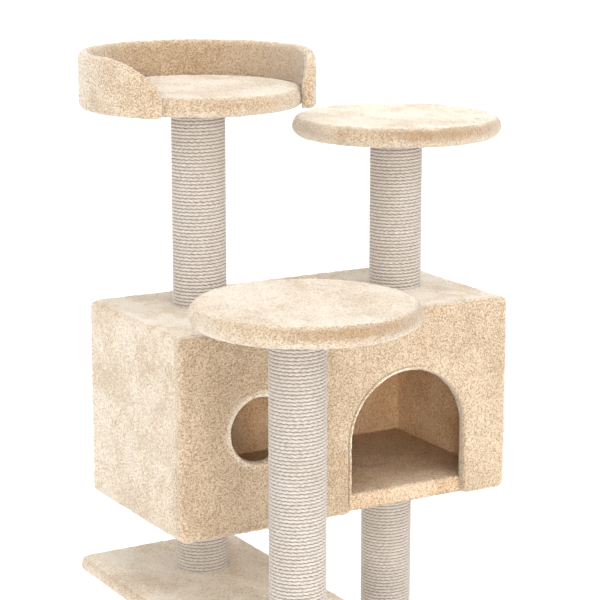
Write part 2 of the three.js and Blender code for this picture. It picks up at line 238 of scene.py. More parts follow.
def plush_material(name, tan, lit_pale, sheen=0.85, crevice_shade=0.62):
    """Short pile: tufts a few millimetres across, and soft patches where the nap lies over. The first
    colours are its dark, middle and light ones, the second a paler copy painted where light falls on it, and
    the last number is how much painted shade darkens it down between the tufts."""
    n = Nodes(name)
    leaning = n.stretched(LEAN_SCALE, LEAN_TURN)
    tuft = n.noise(TUFT, 1.5, 0.5, 0.1)
    ragged = n.maths("MULTIPLY", n.maths("SUBTRACT", tuft, 0.5), RAGGED)
    nap = n.maths("ADD", n.noise(NAP, 6.0, 0.68, 0.25, leaning), ragged)
    streak = n.maths("ADD", n.noise(STREAK, 4.0, 0.65, 0.2, leaning), ragged)
    fleck = n.noise(TIP_HIGHLIGHT, 1.0, 0.5, 0.1)
    fibre = n.noise(FIBRE, 1.5, 0.6)

    # Pale where painted light falls, from the way the plush faces, broken into nap patches, and tan
    # elsewhere, with streaks of each one's lightest colour.
    nap_and_painted_light = n.maths("MULTIPLY", n.attribute("nap_and_painted_light"), n.grey(nap, 0.40, 0.54, 0.70, 1.09))
    into, along = (n.ramp(nap, list(zip(RAMP_STOPS, colours))) for colours in (tan, lit_pale))
    base = n.mix(nap_and_painted_light, into, along)
    base = n.mix(n.grey(streak, 0.42, 0.62, 0.0, 0.40), base, n.mix(nap_and_painted_light, tan[2], lit_pale[2]))

    # Painted shade down between the tufts, less where painted light falls, and painted highlights on the
    # tips.
    tops = n.grey(tuft, 0.36, 0.55)
    # The colour of the painted shade, also used where the pile opens and where shade is painted on.
    between = (0.70 * tan[0][0], 0.60 * tan[0][1], 0.47 * tan[0][2])
    shade_amount = n.maths("SUBTRACT", 1.05, n.maths("MULTIPLY", nap_and_painted_light, 0.72))
    shade = n.maths("MULTIPLY", n.grey(tops, 0.0, 1.0, crevice_shade, 0.0), shade_amount)
    base = n.mix(shade, base, between)
    tan_highlight = tuple(min(1.0, 1.30 * c + 0.06) for c in tan[2])
    pale_highlight = tuple(min(1.0, 1.08 * c) for c in lit_pale[2])
    base = n.mix(n.grey(fleck, 0.50, 0.66, 0.0, 0.72), base, n.mix(nap_and_painted_light, tan_highlight, pale_highlight))
    base = n.tint(base, fibre, (0.84, 0.81, 0.77), (1.10, 1.10, 1.10), 0.6)
    # Darker where the pile opens round an edge, and with painted shade on plush sides, inside the bed's rim
    # and in the groove by the door.
    base = n.mix(n.attribute("parted_and_painted_shade"), base, n.mix(PARTED_SHADE, base, between))

    normal = n.bump(n.maths("ADD", tops, fleck), 0.0011, 0.9)
    normal = n.bump(fibre, 0.0005, 0.7, normal)
    return n.finish(
        base, 0.96, normal,
        Specular_IOR_Level=0.10, Sheen_Weight=sheen, Sheen_Roughness=0.4,
        Sheen_Tint=(1.0, 0.97, 0.93, 1.0),
    )


def sisal_material():
    """Off-white rope fibre, with painted shade down between the turns."""
    n = Nodes("sisal")
    depth = n.attribute("groove_shade")
    fleck = n.noise(0.0035, 3.0, 0.6, 0.3)
    fibre = n.noise(0.0009, 2.0, 0.6, 0.2, n.stretched((1.0, 1.0, 3.0)))
    broad = n.noise(0.05, 2.0)
    colours = ((0.52, 0.465, 0.415), (0.68, 0.635, 0.595), (0.77, 0.73, 0.695))
    base = n.ramp(fleck, list(zip((0.30, 0.52, 0.72), colours)))
    base = n.mix(n.grey(broad, 0.35, 0.65, 0.0, 0.22), base, (0.56, 0.49, 0.42))
    base = n.tint(base, fibre, (0.80, 0.77, 0.73), (1.1, 1.1, 1.1))
    # Painted shade down in the grooves between the turns.
    base = n.mix(n.grey(depth, 0.20, 0.90, 0.0, 0.66), base, (0.20, 0.155, 0.125))
    normal = n.bump(fibre, 0.0005, 0.8)
    return n.finish(base, 0.88, normal, Specular_IOR_Level=0.2, Sheen_Weight=0.15, Sheen_Roughness=0.5)


def chipboard_material():
    """Raw particle board: pressed flakes with darker chips."""
    n = Nodes("chipboard")
    cells = n.tree.nodes.new("ShaderNodeTexVoronoi")
    cells.inputs["Scale"].default_value = 1 / 0.0035
    n.link(n.stretched((1.0, 0.6, 1.0), (0.2, 0.3, 0.7)), cells.inputs["Vector"])
    colours = ((0.33, 0.21, 0.115), (0.50, 0.35, 0.20), (0.62, 0.46, 0.29))
    flakes = n.ramp(cells.outputs["Color"], list(zip((0.2, 0.55, 0.9), colours)))
    broad = n.noise(0.06, 3.0)
    base = n.mix(n.grey(broad, 0.35, 0.65, 0.0, 0.3), flakes, (0.40, 0.27, 0.16))
    normal = n.bump(cells.outputs["Distance"], 0.0003, 0.5)
    return n.finish(base, 0.82, normal, Specular_IOR_Level=0.3)


def cardboard_material():
    """Kraft tube, wound in a slanting strip."""
    n = Nodes("kraft_tube")
    wound = n.noise(0.02, 2.0, 0.5, 0.0, n.stretched((0.1, 0.1, 1.0), (0.25, 0.0, 0.0)))
    pulp = n.noise(0.0015, 3.0, 0.6)
    base = n.ramp(wound, [(0.35, (0.34, 0.215, 0.115)), (0.65, (0.44, 0.29, 0.165))])
    base = n.tint(base, pulp, (0.82, 0.8, 0.78), (1.08, 1.08, 1.08))
    return n.finish(base, 0.85, n.bump(pulp, 0.0002, 0.6), Specular_IOR_Level=0.25)


def softwood_material():
    """Planed wood with its rings and fine grain along Y."""
    n = Nodes("softwood")
    rings = n.noise(0.006, 3.0, 0.5, 0.6, n.stretched((1.0, 0.12, 1.0), (0.0, 0.0, 0.4)))
    grain = n.noise(0.0012, 2.0, 0.6, 0.0, n.stretched((1.0, 0.06, 1.0), (0.0, 0.0, 0.4)))
    base = n.ramp(rings, [(0.35, (0.66, 0.49, 0.29)), (0.6, (0.52, 0.35, 0.18))])
    base = n.tint(base, grain, (0.85, 0.82, 0.78), (1.06, 1.06, 1.06))
    return n.finish(base, 0.7, n.bump(grain, 0.0002, 0.5))


def zinc_material():
    """Zinc-plated steel, slightly mottled and scratched along Z."""
    n = Nodes("zinc_steel")
    spangle = n.noise(0.003, 2.0)
    scratch = n.noise(0.0006, 2.0, 0.5, 0.0, n.stretched((1.0, 1.0, 0.1)))
    base = n.ramp(spangle, [(0.35, (0.50, 0.51, 0.53)), (0.65, (0.63, 0.64, 0.65))])
    roughness = n.grey(scratch, 0.3, 0.7, 0.28, 0.46)
    return n.finish(base, roughness, n.bump(scratch, 0.00005, 0.4), Metallic=1.0)


# Dark, middle and light colours of the plush, its paler copy painted where light falls, and the lining's
# copies, painted darker and warmer as shade inside the house, on the walls and on the floor.
TAN = ((0.47, 0.345, 0.225), (0.54, 0.41, 0.28), (0.62, 0.49, 0.35))
LIT_PALE = ((0.81, 0.63, 0.425), (0.90, 0.785, 0.625), (0.97, 0.90, 0.785))
WALL_SHADED = ((0.72, 0.385, 0.19), (0.88, 0.53, 0.295), (0.95, 0.67, 0.42))
FLOOR_SHADED = ((0.42, 0.27, 0.155), (0.55, 0.37, 0.215), (0.66, 0.475, 0.295))

PLUSH = plush_material("plush", TAN, LIT_PALE)
# The lining is the same plush, with the shade inside the house painted into its colours.
FLOOR_LINING_SHADED = plush_material("plush_floor_lining_painted_shade", FLOOR_SHADED, LIT_PALE, 0.2, 0.4)
WALL_LINING_SHADED = plush_material("plush_wall_lining_painted_shade", WALL_SHADED, LIT_PALE, 0.3, 0.3)
SISAL = sisal_material()
CHIPBOARD = chipboard_material()
CARDBOARD = cardboard_material()
SOFTWOOD = softwood_material()
ZINC = zinc_material()


# ---- Mesh helpers ----


def lattice(i, j, k, seed):
    """A repeatable number from -1 to 1 for each lattice point."""
    h = (i * 374761393 + j * 668265263 + k * 1442695041 + seed * 1274126177) & 0xFFFFFFFF
    h = ((h ^ (h >> 13)) * 1274126177) & 0xFFFFFFFF
    h = (h ^ (h >> 16)) & 0xFFFF
    return h / 32767.5 - 1.0


def noise(points, size, seed):
    """Smooth noise from -1 to 1 at each point, with blobs about size metres across."""
    q = points / size
    cell = np.floor(q).astype(np.int64)
    f = q - cell
    f = f * f * (3 - 2 * f)
    total = np.zeros(len(points))
    for corner in range(8):
        step = np.array([corner & 1, corner >> 1 & 1, corner >> 2 & 1])
        weight = np.prod(np.where(step, f, 1 - f), axis=1)
        total += weight * lattice(*(cell + step).T, seed)
    return total


def new_piece(name, points, quads, triangles=(), merge=0.0):
    """A smooth-shaded closed mesh from an (n, 3) array of points and its faces, which are turned outwards.
    Points nearer to each other than merge become one."""
    mesh = bpy.data.meshes.new(name)
    quads = np.asarray(quads, np.int32).reshape(-1, 4)
    triangles = np.asarray(triangles, np.int32).reshape(-1, 3)
    mesh.vertices.add(len(points))
    mesh.vertices.foreach_set("co", np.asarray(points, np.float32).ravel())
    loops = np.concatenate([quads.ravel(), triangles.ravel()])
    mesh.loops.add(len(loops))
    mesh.loops.foreach_set("vertex_index", loops)
    starts = np.concatenate([np.arange(len(quads)) * 4, len(quads) * 4 + np.arange(len(triangles)) * 3])
    mesh.polygons.add(len(starts))
    mesh.polygons.foreach_set("loop_start", starts.astype(np.int32))
    mesh.polygons.foreach_set("use_smooth", np.ones(len(starts), bool))
    mesh.update(calc_edges=True)
    mesh.validate()
    work = bmesh.new()
    work.from_mesh(mesh)
    if merge:
        bmesh.ops.remove_doubles(work, verts=work.verts, dist=merge)
    bmesh.ops.recalc_face_normals(work, faces=work.faces)
    if work.calc_volume(signed=True) < 0:
        bmesh.ops.reverse_faces(work, faces=work.faces)
    work.to_mesh(mesh)
    work.free()
    piece = bpy.data.objects.new(name, mesh)
    bpy.context.scene.collection.objects.link(piece)
    return piece


def rows_of(collection, field):
    flat = np.zeros(len(collection) * 3, np.float32)
    collection.foreach_get(field, flat)
    return flat.reshape(-1, 3).astype(float)


def coordinates(piece):
    return rows_of(piece.data.vertices, "co")


def normals(piece):
    return rows_of(piece.data.vertex_normals, "vector")


def set_coordinates(piece, points):
    piece.data.vertices.foreach_set("co", points.astype(np.float32).ravel())
    piece.data.update()


def grid_quads(rows, columns, close_rows=False, close_columns=False):
    """Quads over a rows x columns grid of points, whose last row or column may join the first."""
    i = np.arange(rows if close_rows else rows - 1)
    j = np.arange(columns if close_columns else columns - 1)
    a, b = np.meshgrid(i, j, indexing="ij")
    c, d = (a + 1) % rows, (b + 1) % columns
    corners = [a * columns + b, a * columns + d, c * columns + d, c * columns + b]
    return np.stack(corners, -1).reshape(-1, 4)


# ---- Pile ----

# Each layer of the pile's noise: its height in millimetres, its blobs' size, and what it adds to the seed.
PILE_LAYERS = ((0.55, 5.2 * MM, 0), (0.42, 3.1 * MM, 7), (0.35, 45 * MM, 13), (0.25, 16 * MM, 19))
# Painted light on the plush by the way a surface faces: on its top, its left, its right, its back and
# underneath.
TOP_LIGHT, LEFT_LIGHT, RIGHT_LIGHT, BACK_LIGHT, UNDER_LIGHT = 0.62, 0.48, 0.35, 0.45, 0.30


def pile(piece, weight=1.0, tall=1.0, seed=1):
    """Gives a plush surface its tufts: points move along their normals by noise of several sizes."""
    points, direction = coordinates(piece), normals(piece)
    height = sum(size * noise(points, blob, seed + more) for size, blob, more in PILE_LAYERS)
    points += direction * (height * weight * tall * MM)[:, None]
    set_coordinates(piece, points)


def pile_where(piece, where, tall=1.0, seed=1):
    """Pile where that holds for a point, or as much of it as that says, from 0 to 1."""
    pile(piece, where(coordinates(piece)), tall, seed)


def mark(piece, name, values):
    """Stores a number at each point for the material to read."""
    if name in piece.data.attributes:
        attribute = piece.data.attributes[name]
    else:
        attribute = piece.data.attributes.new(name, "FLOAT", "POINT")
    attribute.data.foreach_set("value", np.clip(values, 0, 1).astype(np.float32))


def smooth(values, low, high):
    t = np.clip((values - low) / (high - low), 0, 1)
    return t * t * (3 - 2 * t)


def painted_light_by_facing(piece, top=TOP_LIGHT, left=LEFT_LIGHT):
    """How much painted light each point gets from the way it faces: a lot on tops and on the left, not at
    all to the front.
    """
    x, y, z = normals(piece).T
    flat = smooth(z, 0.84, 0.99)
    over = top * flat + left * np.maximum(-x, 0) * (1 - flat)
    over += RIGHT_LIGHT * np.maximum(x, 0) + BACK_LIGHT * np.maximum(y, 0)
    return over + UNDER_LIGHT * np.maximum(-z, 0)


def parted_and_painted_shade(piece):
    """How far the pile opens where the plush bends over an upper edge, with painted shade on the sides below
    it; less on the left.
    """
    x, _, z = normals(piece).T
    return smooth(z, -0.6, 0.2) * (1 - smooth(z, 0.60, 0.94)) * (1 - 0.7 * smooth(-x, 0.3, 0.9))


def paint(piece, material):
    piece.data.materials.clear()
    piece.data.materials.append(material)


def dress(piece, material, node):
    """Gives a piece its material, and says what it stands for in the frame."""
    paint(piece, material)
    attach(piece, BODY)
    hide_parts(node)


def dress_plush(piece, node, top=TOP_LIGHT, left=LEFT_LIGHT):
    """Gives a piece the plush, with painted light from the way it faces, in place of the CAD part that it
    hides.
    """
    mark(piece, "nap_and_painted_light", painted_light_by_facing(piece, top, left))
    dress(piece, PLUSH, node)


# ---- Outlines in a plane ----


def arc(x, y, radius, start, end, count):
    """(x, y) pairs round an arc between two angles in degrees."""
    angles = np.linspace(math.radians(start), math.radians(end), count)
    return [(x + radius * math.cos(a), y + radius * math.sin(a)) for a in angles]


def raised(flat, depth):
    """Points in a plane, with a third coordinate that is the same for all."""
    return np.column_stack([flat, np.full(len(flat), depth)])


def rounded_edge(radius, steps):
    """(inset, depth) pairs round a quarter turn, from the flat face to the side."""
    return arc(radius, radius, radius, 270, 180, steps)


def placed(origin, u, v, inwards):
    """A function that carries (u, v, depth) rows into the frame, from the origin along those directions."""
    axes = np.array((u, v, inwards))
    return lambda rows: np.array(origin) + rows @ axes


class Outline:
    """A closed line of points, with a unit direction at each that points into the material. Where tight is
    below 1, an inset is that much less, so a rolled edge is narrower."""

    def __init__(self, points, inward, tight=1.0):
        self.points, self.inward = np.array(points), np.array(inward)
        self.tight = np.broadcast_to(tight, len(points))[:, None]

    def inset(self, distance):
        return self.points + self.inward * self.tight * distance


TIGHT = 0.42  # how narrow a rolled edge is at an opening


class RoundedRectangle:
    """A rectangle with round corners, centred on the origin. Every inset has as many points."""

    def __init__(self, width, height, corner, step):
        self.size, self.corner, self.step = (width, height), corner, step
        self.counts = [max(2, round((side - 2 * corner) / step)) for side in self.size]
        self.bend = max(4, round(corner * math.pi / 2 / step))

    def inset(self, distance):
        corner = max(self.corner - distance, 0.15 * self.corner)
        x, y = (side / 2 - distance - corner for side in self.size)
        bends = [
            arc(*centre, corner, 90 * (turn - 1), 90 * turn, self.bend + 1)
            for turn, centre in enumerate([(x, -y), (x, y), (-x, y), (-x, -y)])
        ]
        points = []
        for turn, bend in enumerate(bends):
            start, end = np.array(bend[-1]), np.array(bends[(turn + 1) % 4][0])
            count = self.counts[1 - turn % 2]
            points += bend
            points += [start + (end - start) * t for t in np.linspace(0, 1, count + 1)[1:-1]]
        return np.array(points)


def circle(x, y, radius, step, hole=False):
    """A round outline: the material is inside it, or outside it where it is a hole."""
    count = max(24, round(TAU * radius / step))
    angles = np.arange(count) * TAU / count
    if hole:
        angles = -angles
    out = np.stack([np.cos(angles), np.sin(angles)], -1)
    return Outline(np.array((x, y)) + radius * out, out if hole else -out, TIGHT if hole else 1.0)


def inside(points, loops):
    """True for each point that is inside an odd number of closed loops."""
    crossings = np.zeros(len(points), int)
    x, y = points[:, 0], points[:, 1]
    for loop in loops:
        for (ax, ay), (bx, by) in zip(loop, np.roll(loop, -1, axis=0)):
            spans = (ay > y) != (by > y)
            if not spans.any():
                continue
            crossings[spans] += x[spans] < ax + (y[spans] - ay) * (bx - ax) / (by - ay)
    return crossings % 2 == 1


def fill(loops, step=None, extra=()):
    """Triangles over the region that closed loops bound, with inner points about step apart, and the extra
    ones. Gives the inner points, and triangles whose corners count through the loops' points, then these."""
    edge = np.concatenate(loops)
    extra = np.asarray(extra, float).reshape(-1, 2)
    inner = np.zeros((0, 2))
    if step:
        low, high = edge.min(0), edge.max(0)
        rows = np.arange(low[1], high[1], step * 0.866)
        columns = np.arange(low[0], high[0], step)
        x, y = np.meshgrid(columns, rows)
        x = x + (np.arange(len(rows)) % 2)[:, None] * step / 2
        inner = np.stack([x.ravel(), y.ravel()], -1)
        inner = inner[inside(inner, loops)]
        taken = np.concatenate([edge, extra])
        tree = kdtree.KDTree(len(taken))
        for i, (a, b) in enumerate(taken):
            tree.insert((a, b, 0), i)
        tree.balance()
        clear = [tree.find((a, b, 0))[2] > step * 0.75 for a, b in inner]
        inner = np.concatenate([extra, inner[np.array(clear, bool)]])
    constraints, first = [], 0
    for loop in loops:
        count = len(loop)
        constraints.extend((first + i, first + (i + 1) % count) for i in range(count))
        first += count
    everything = [Vector(p) for p in np.concatenate([edge, inner])]
    made = geometry.delaunay_2d_cdt(everything, constraints, [], 0, 1e-7)
    original = np.array([group[0] for group in made[3]])
    triangles = np.array([t for t in made[2] if len(t) == 3])
    corners = np.array([tuple(v) for v in made[0]])
    keep = inside(corners[triangles].mean(1), loops)
    return inner, original[triangles[keep]]


def plate(name, outlines, section, place, step, extra=()):
    """A slab with those outlines, the first the outer one. section has (inset, depth) pairs from the flat
    front, round the edge, to the flat back. place turns (u, v, depth) rows into points."""
    points, quads, first, rings = [], [], 0, []
    for outline in outlines:
        count = len(outline.inset(0))
        for inset, depth in section:
            points.append(raised(outline.inset(inset), depth))
        quads.append(grid_quads(len(section), count, close_columns=True) + first)
        rings.append((first, count))
        first += count * len(section)
    triangles = []
    for row, spacing, more, turn in ((0, step, extra, 1), (len(section) - 1, None, (), -1)):
        inset, depth = section[row]
        inner, found = fill([outline.inset(inset) for outline in outlines], spacing, more)
        order = [start + row * count + np.arange(count) for start, count in rings]
        order = np.concatenate([*order, first + np.arange(len(inner))])
        points.append(raised(inner, depth))
        first += len(inner)
        triangles.append(order[found][:, ::turn])
    points, quads = place(np.concatenate(points)), np.concatenate(quads)[:, ::-1]
    return new_piece(name, points, quads, np.concatenate(triangles))


# ---- Plush platforms ----

FINE = 2.3 * MM  # spacing of points on plush
SKIN = 4.5 * MM  # thickness of plush and backing
DISC_HEM = 34 * MM  # from a round platform's edge to where its cover ends underneath
DISC_CROWN = 1.2 * MM

# Each one's name, how much painted light falls on its top, how far its pile opens at the edge with painted
# shade there, and its seed.
ROUND_PLATFORMS = (("front_disc", 0.60, 1.0, 11), ("right_disc", 0.95, 1.0, 14), ("bed", 0.60, 0.5, 17))


def add_base():
    low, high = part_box("base_cover")
    size, centre = high - low, (low + high) / 2
    corner, edge = 24 * MM, 8 * MM
    rim = RoundedRectangle(size.x, size.y, corner, FINE)
    section = rounded_edge(edge, 6)
    section += [(0, depth) for depth in np.linspace(edge, size.z, 7)[1:]]
    section += [(SKIN, size.z), (SKIN, SKIN)]
    made = plate("base_plush", [rim], section, placed((centre.x, centre.y, high.z), X, Y, -Z), FINE * 1.25)
    pile_where(made, lambda p: p[:, 2] > low.z + 1.5 * MM)
    dress_plush(made, "base_cover")


def add_low_platform():
    """A cover turned under the board, and a plate of backing inside the turn."""
    low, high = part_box("shelf_cover")
    size, centre = high - low, (low + high) / 2
    corner, edge, hem = 20 * MM, 10 * MM, 26 * MM
    rim = RoundedRectangle(size.x, size.y, corner, FINE)
    over = rounded_edge(edge, 7)
    section = over + [(inset, size.z - depth) for inset, depth in reversed(over)]
    section += [(inset, size.z) for inset in np.linspace(edge, hem, 7)[1:]]
    section += [(hem, size.z - SKIN + 0.2 * MM), (SKIN, size.z - SKIN), (SKIN, SKIN)]
    place = placed((centre.x, centre.y, high.z), X, Y, -Z)
    made = plate("low_platform_plush", [rim], section, place, FINE)
    pile(made, seed=3)
    dress_plush(made, "shelf_cover", top=1.0)
    # Painted shade on the sides, where the pile also opens round the edge.
    mark(made, "parted_and_painted_shade", 0.6 * parted_and_painted_shade(made))

    gap, edge, sunk = 0.4 * MM, 1.6 * MM, 0.6 * MM
    inner = RoundedRectangle(size.x - 2 * (hem + gap), size.y - 2 * (hem + gap), 8 * MM, FINE)
    section = rounded_edge(edge, 3) + [(0, SKIN - 0.8 * MM)]
    place = placed((centre.x, centre.y, low.z + sunk), X, -Y, Z)
    backing = plate("low_platform_backing", [inner], section, place, FINE * 1.5)
    pile_where(backing, lambda p: p[:, 2] < low.z + 2 * MM, 0.6, seed=4)
    dress_plush(backing, "shelf_cover")


def turned_piece(name, profile, sides, centre):
    """A turned surface from (radius, height) pairs. A radius of 0 is one point on the axis, and a profile
    may end where it starts."""
    angles = np.arange(sides) * TAU / sides
    around = np.stack([np.cos(angles), np.sin(angles)], -1)
    closed = profile[0] == profile[-1]
    points, rows, count = [], [], 0
    for radius, height in profile[:-1] if closed else profile:
        points.append(raised(around * radius, height) if radius > 0 else [[0, 0, height]])
        rows.append(count + np.arange(sides) % len(points[-1]))
        count += len(points[-1])
    if closed:
        rows.append(rows[0])
    quads, triangles = [], [np.zeros((0, 3), int)]
    for a, b in zip(rows, rows[1:]):
        c, d = np.roll(a, -1), np.roll(b, -1)
        if a[0] == a[1]:
            triangles.append(np.stack([d, b, a], -1))
        elif b[0] == b[1]:
            triangles.append(np.stack([a, c, b], -1))
        else:
            quads.append(np.stack([a, c, d, b], -1))
    points = np.concatenate(points) + np.array(centre)
    return new_piece(name, points, np.concatenate(quads), np.concatenate(triangles))


def add_round_platform(name, top_light, edge_parting_shade, seed):
    """A round board's cover: a top pulled round the edge and turned under, and a backing inside the turn."""
    low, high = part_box(name + "_cover")
    centre = ((low.x + high.x) / 2, (low.y + high.y) / 2, low.z)
    thick = high.z - low.z
    radius = (high.x - low.x) / 2 + 0.4 * MM
    half = thick / 2
    flat, hem = radius - half, radius - DISC_HEM
    sides = round(TAU * radius / FINE)

    def top(r):
        return thick + DISC_CROWN * (1 - (r / flat) ** 4) - 0.4 * DISC_CROWN

    profile = [(r, top(r)) for r in np.linspace(0, flat, round(flat / FINE))[:-1]]
    profile += arc(flat, half, half, 90, -90, 22)
    profile += [(r, 0.0) for r in np.linspace(flat, hem, 10)[1:]]
    profile += [(hem, SKIN - 0.3 * MM), (flat, SKIN)]
    profile += arc(flat, half, half - SKIN, -90, 90, 7)[1:]
    profile += [(0, thick - SKIN)]
    made = turned_piece(name + "_plush", profile, sides, centre)

    def outer(p):
        r, depth = np.hypot(p[:, 0] - centre[0], p[:, 1] - centre[1]), p[:, 2] - low.z
        return (depth <= SKIN * 0.6) | (depth >= thick - SKIN * 0.6) | (r >= radius - SKIN * 0.7)

    pile_where(made, outer, seed=seed)
    dress_plush(made, name + "_cover", top=top_light)
    # Painted shade on the sides, where the pile also opens round the edge.
    mark(made, "parted_and_painted_shade", edge_parting_shade * parted_and_painted_shade(made))

    hole, edge = 6 * MM, hem - 0.5 * MM
    bottom, bevel, upper = 0.8 * MM, 1.5 * MM, SKIN - 0.2 * MM
    profile = [(r, bottom) for r in np.linspace(hole, edge - bevel, 50)]
    profile += [(edge, 2.2 * MM), (edge, upper), (hole, upper), (hole, bottom)]
    backing = turned_piece(name + "_backing", profile, sides // 2, centre)
    pile_where(backing, lambda p: p[:, 2] < low.z + 1.5 * MM, 0.6, seed=seed + 1)
    dress_plush(backing, name + "_cover")


# ---- The bed's raised rim ----


RIM_MOUTH = math.radians(45)  # from the front to each of the rim's ends
RIM_RISE = math.radians(36)  # how far round each end takes to rise
RIM_END = 6 * MM  # how each end is rounded
RIM_FOOT = 6.5 * MM
STRIP_HALF = 1.9 * MM  # half the slot for the stiff strip
STRIP_CLEAR = 7.2 * MM  # from the rim's top down to the slot's
STRIP_END = 9 * MM  # from the rim's end to the slot's
SOLE_LIFT = 5 * MM  # how much higher the foot is at the rim's ends


def rim_section(run, height, thick):
    """(from the middle, height) pairs round the rim's section, that far along from its nearer end."""
    narrow = math.sqrt(max(0.0, 1 - max(0.0, 1 - run / RIM_END) ** 2))
    half = max(thick / 2 * narrow, 0.15 * MM)
    height -= (1 - narrow) * 9 * MM
    foot = min(half, RIM_FOOT)
    sole = SOLE_LIFT * max(0.0, 1 - run / STRIP_END) ** 2
    section = arc(half - foot, sole + foot, foot, -90, 0, 7)[:-1]
    section += [(half, z) for z in np.linspace(sole + foot, height - half, 28)]
    section += arc(0, height - half, half, 0, 180, 13)[1:-1]
    section += [(-half, z) for z in np.linspace(height - half, sole, 30)]
    slot = max(sole, height - STRIP_CLEAR) if run > STRIP_END else sole
    width = min(STRIP_HALF, half * 0.6, half - foot + 0.3 * foot)
    return section + [(-width, sole), (-width, slot), (width, slot), (width, sole)]


def add_bed_rim():
    """A padded wall round three quarters of the bed, open at the front, with a slot for the stiff strip."""
    low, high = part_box("bed_rim_cover")
    bed_low, bed_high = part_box("bed_cover")
    centre = ((bed_low.x + bed_high.x) / 2, (bed_low.y + bed_high.y) / 2)
    outer = high.y - centre[1] + 0.2 * MM
    inner = (bed_high.x - bed_low.x) / 2 + 1.0 * MM
    middle = (outer + inner) / 2
    end_height, full = bed_high.z - low.z - 1 * MM, high.z - low.z
    start, stop = -math.pi / 2 + RIM_MOUTH, 1.5 * math.pi - RIM_MOUTH
    rings = []
    for angle in np.linspace(start, stop, round((stop - start) * outer / FINE)):
        along = min(angle - start, stop - angle)
        height = end_height + (full - end_height) * math.sin(math.pi / 2 * min(1.0, along / RIM_RISE)) ** 0.6
        section = rim_section(along * middle, height, outer - inner)
        out = np.array((math.cos(angle), math.sin(angle), 0))
        rings.append([(middle + r) * out + z * Z for r, z in section])
    rows, columns = len(rings), len(rings[0])
    points = np.array(rings).reshape(-1, 3) + np.array([*centre, low.z])
    quads = grid_quads(rows, columns, close_columns=True)
    caps = []
    for row, turn in ((0, 1), (rows - 1, -1)):
        ring = row * columns + np.arange(columns)
        fan = np.stack([ring, np.roll(ring, -1), np.full(columns, len(points))], -1)
        caps.append(fan[:, ::turn])
        points = np.vstack([points, points[ring].mean(0)])
    made = new_piece("bed_rim_plush", points, quads, np.concatenate(caps), 0.05 * MM)

    def seen(p):
        r = np.hypot(p[:, 0] - centre[0], p[:, 1] - centre[1])
        slot = (abs(r - middle) < 2.2 * MM) & (p[:, 2] < high.z - 6 * MM) & (p[:, 2] > low.z)
        return ~slot * np.clip((p[:, 2] - low.z) / (2 * MM), 0.0, 1.0)

    pile_where(made, seen, 1.1, seed=31)
    dress_plush(made, "bed_rim_cover", top=0.5, left=0.3)
    # Painted shade on the rim's inner wall, which faces into the bed.
    direction, towards = normals(made), coordinates(made) - np.array([*centre, 0])
    inwards = -(towards[:, 0] * direction[:, 0] + towards[:, 1] * direction[:, 1])
    mark(made, "parted_and_painted_shade", 0.6 * smooth(inwards / inner, 0.4, 0.9))


# ---- House ----

HOUSE_EDGE = 9 * MM
HOUSE_CORNER = 11 * MM
HOUSE_HEM = 20 * MM  # from the house's edge to where its strip of plush ends at the back


def house_box():
    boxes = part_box("house_front_cover"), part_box("house_outer_cover")
    return [Vector(map(pick, *corners)) for pick, corners in zip((min, max), zip(*boxes))]


HOUSE_LOW, HOUSE_HIGH = house_box()
DOOR = (94 * MM - HOUSE_LOW.x, 96 * MM, 199.8 * MM)  # its centre, half its width, its top
DOOR_FOOT = 9.5 * MM  # how the door's lower corners are rounded
WINDOW = (-149 * MM - HOUSE_LOW.x, 146 * MM, 47 * MM)  # its centre and radius
FRONT_DEEP = 15 * MM
STITCH = 6.0 * MM  # from the door's edge to its line of stitching


def add_house_wrap():
    """One strip of plush round the floor, sides and roof, turned in a little way over the back."""
    centre, size = (HOUSE_LOW + HOUSE_HIGH) / 2, HOUSE_HIGH - HOUSE_LOW
    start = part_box("house_outer_cover")[0].y + 0.2 * MM
    step, edge, hem, deep = FINE * 1.15, HOUSE_EDGE, HOUSE_HEM, HOUSE_HIGH.y
    rim = RoundedRectangle(size.x, size.z, HOUSE_CORNER, step)
    outer = [(0.8 * MM, start), (0.25 * MM, start + 0.8 * MM)]
    outer += [(0, y) for y in np.arange(start + 2.2 * MM, deep - edge, step)]
    outer += arc(edge, deep - edge, edge, 180, 90, 8)
    outer += [(inset, deep) for inset in np.linspace(edge, hem - 1.5 * MM, 6)[1:]]
    outer += [(hem, deep - 1.5 * MM)]
    under = deep - SKIN + 0.3 * MM
    section = outer + [(hem, under), (SKIN, under), (SKIN, start)]
    count = len(rim.inset(0))
    rows = np.concatenate([raised(rim.inset(inset), y) for inset, y in section])
    quads = grid_quads(len(section), count, close_rows=True, close_columns=True)
    made = new_piece("house_wrap_plush", placed((centre.x, 0, centre.z), X, Z, Y)(rows), quads)
    pile(made, np.repeat(np.arange(len(section)) < len(outer), count), seed=41)
    dress_plush(made, "house_outer_cover", top=1.0)

    inner = RoundedRectangle(size.x - 2 * hem - 0.8 * MM, size.z - 2 * hem - 0.8 * MM, 6 * MM, FINE)
    section = rounded_edge(1.8 * MM, 4) + [(0, SKIN - 1.0 * MM)]
    place = placed((centre.x, deep - 0.7 * MM, centre.z), -X, Z, -Y)
    back = plate("house_back_plush", [inner], section, place, FINE)
    pile_where(back, lambda p: p[:, 1] > deep - 2.0 * MM, seed=43)
    dress_plush(back, "house_outer_cover")


def on_circle(centre, radius, angle):
    return np.array(centre) + radius * np.array((math.cos(angle), math.sin(angle)))


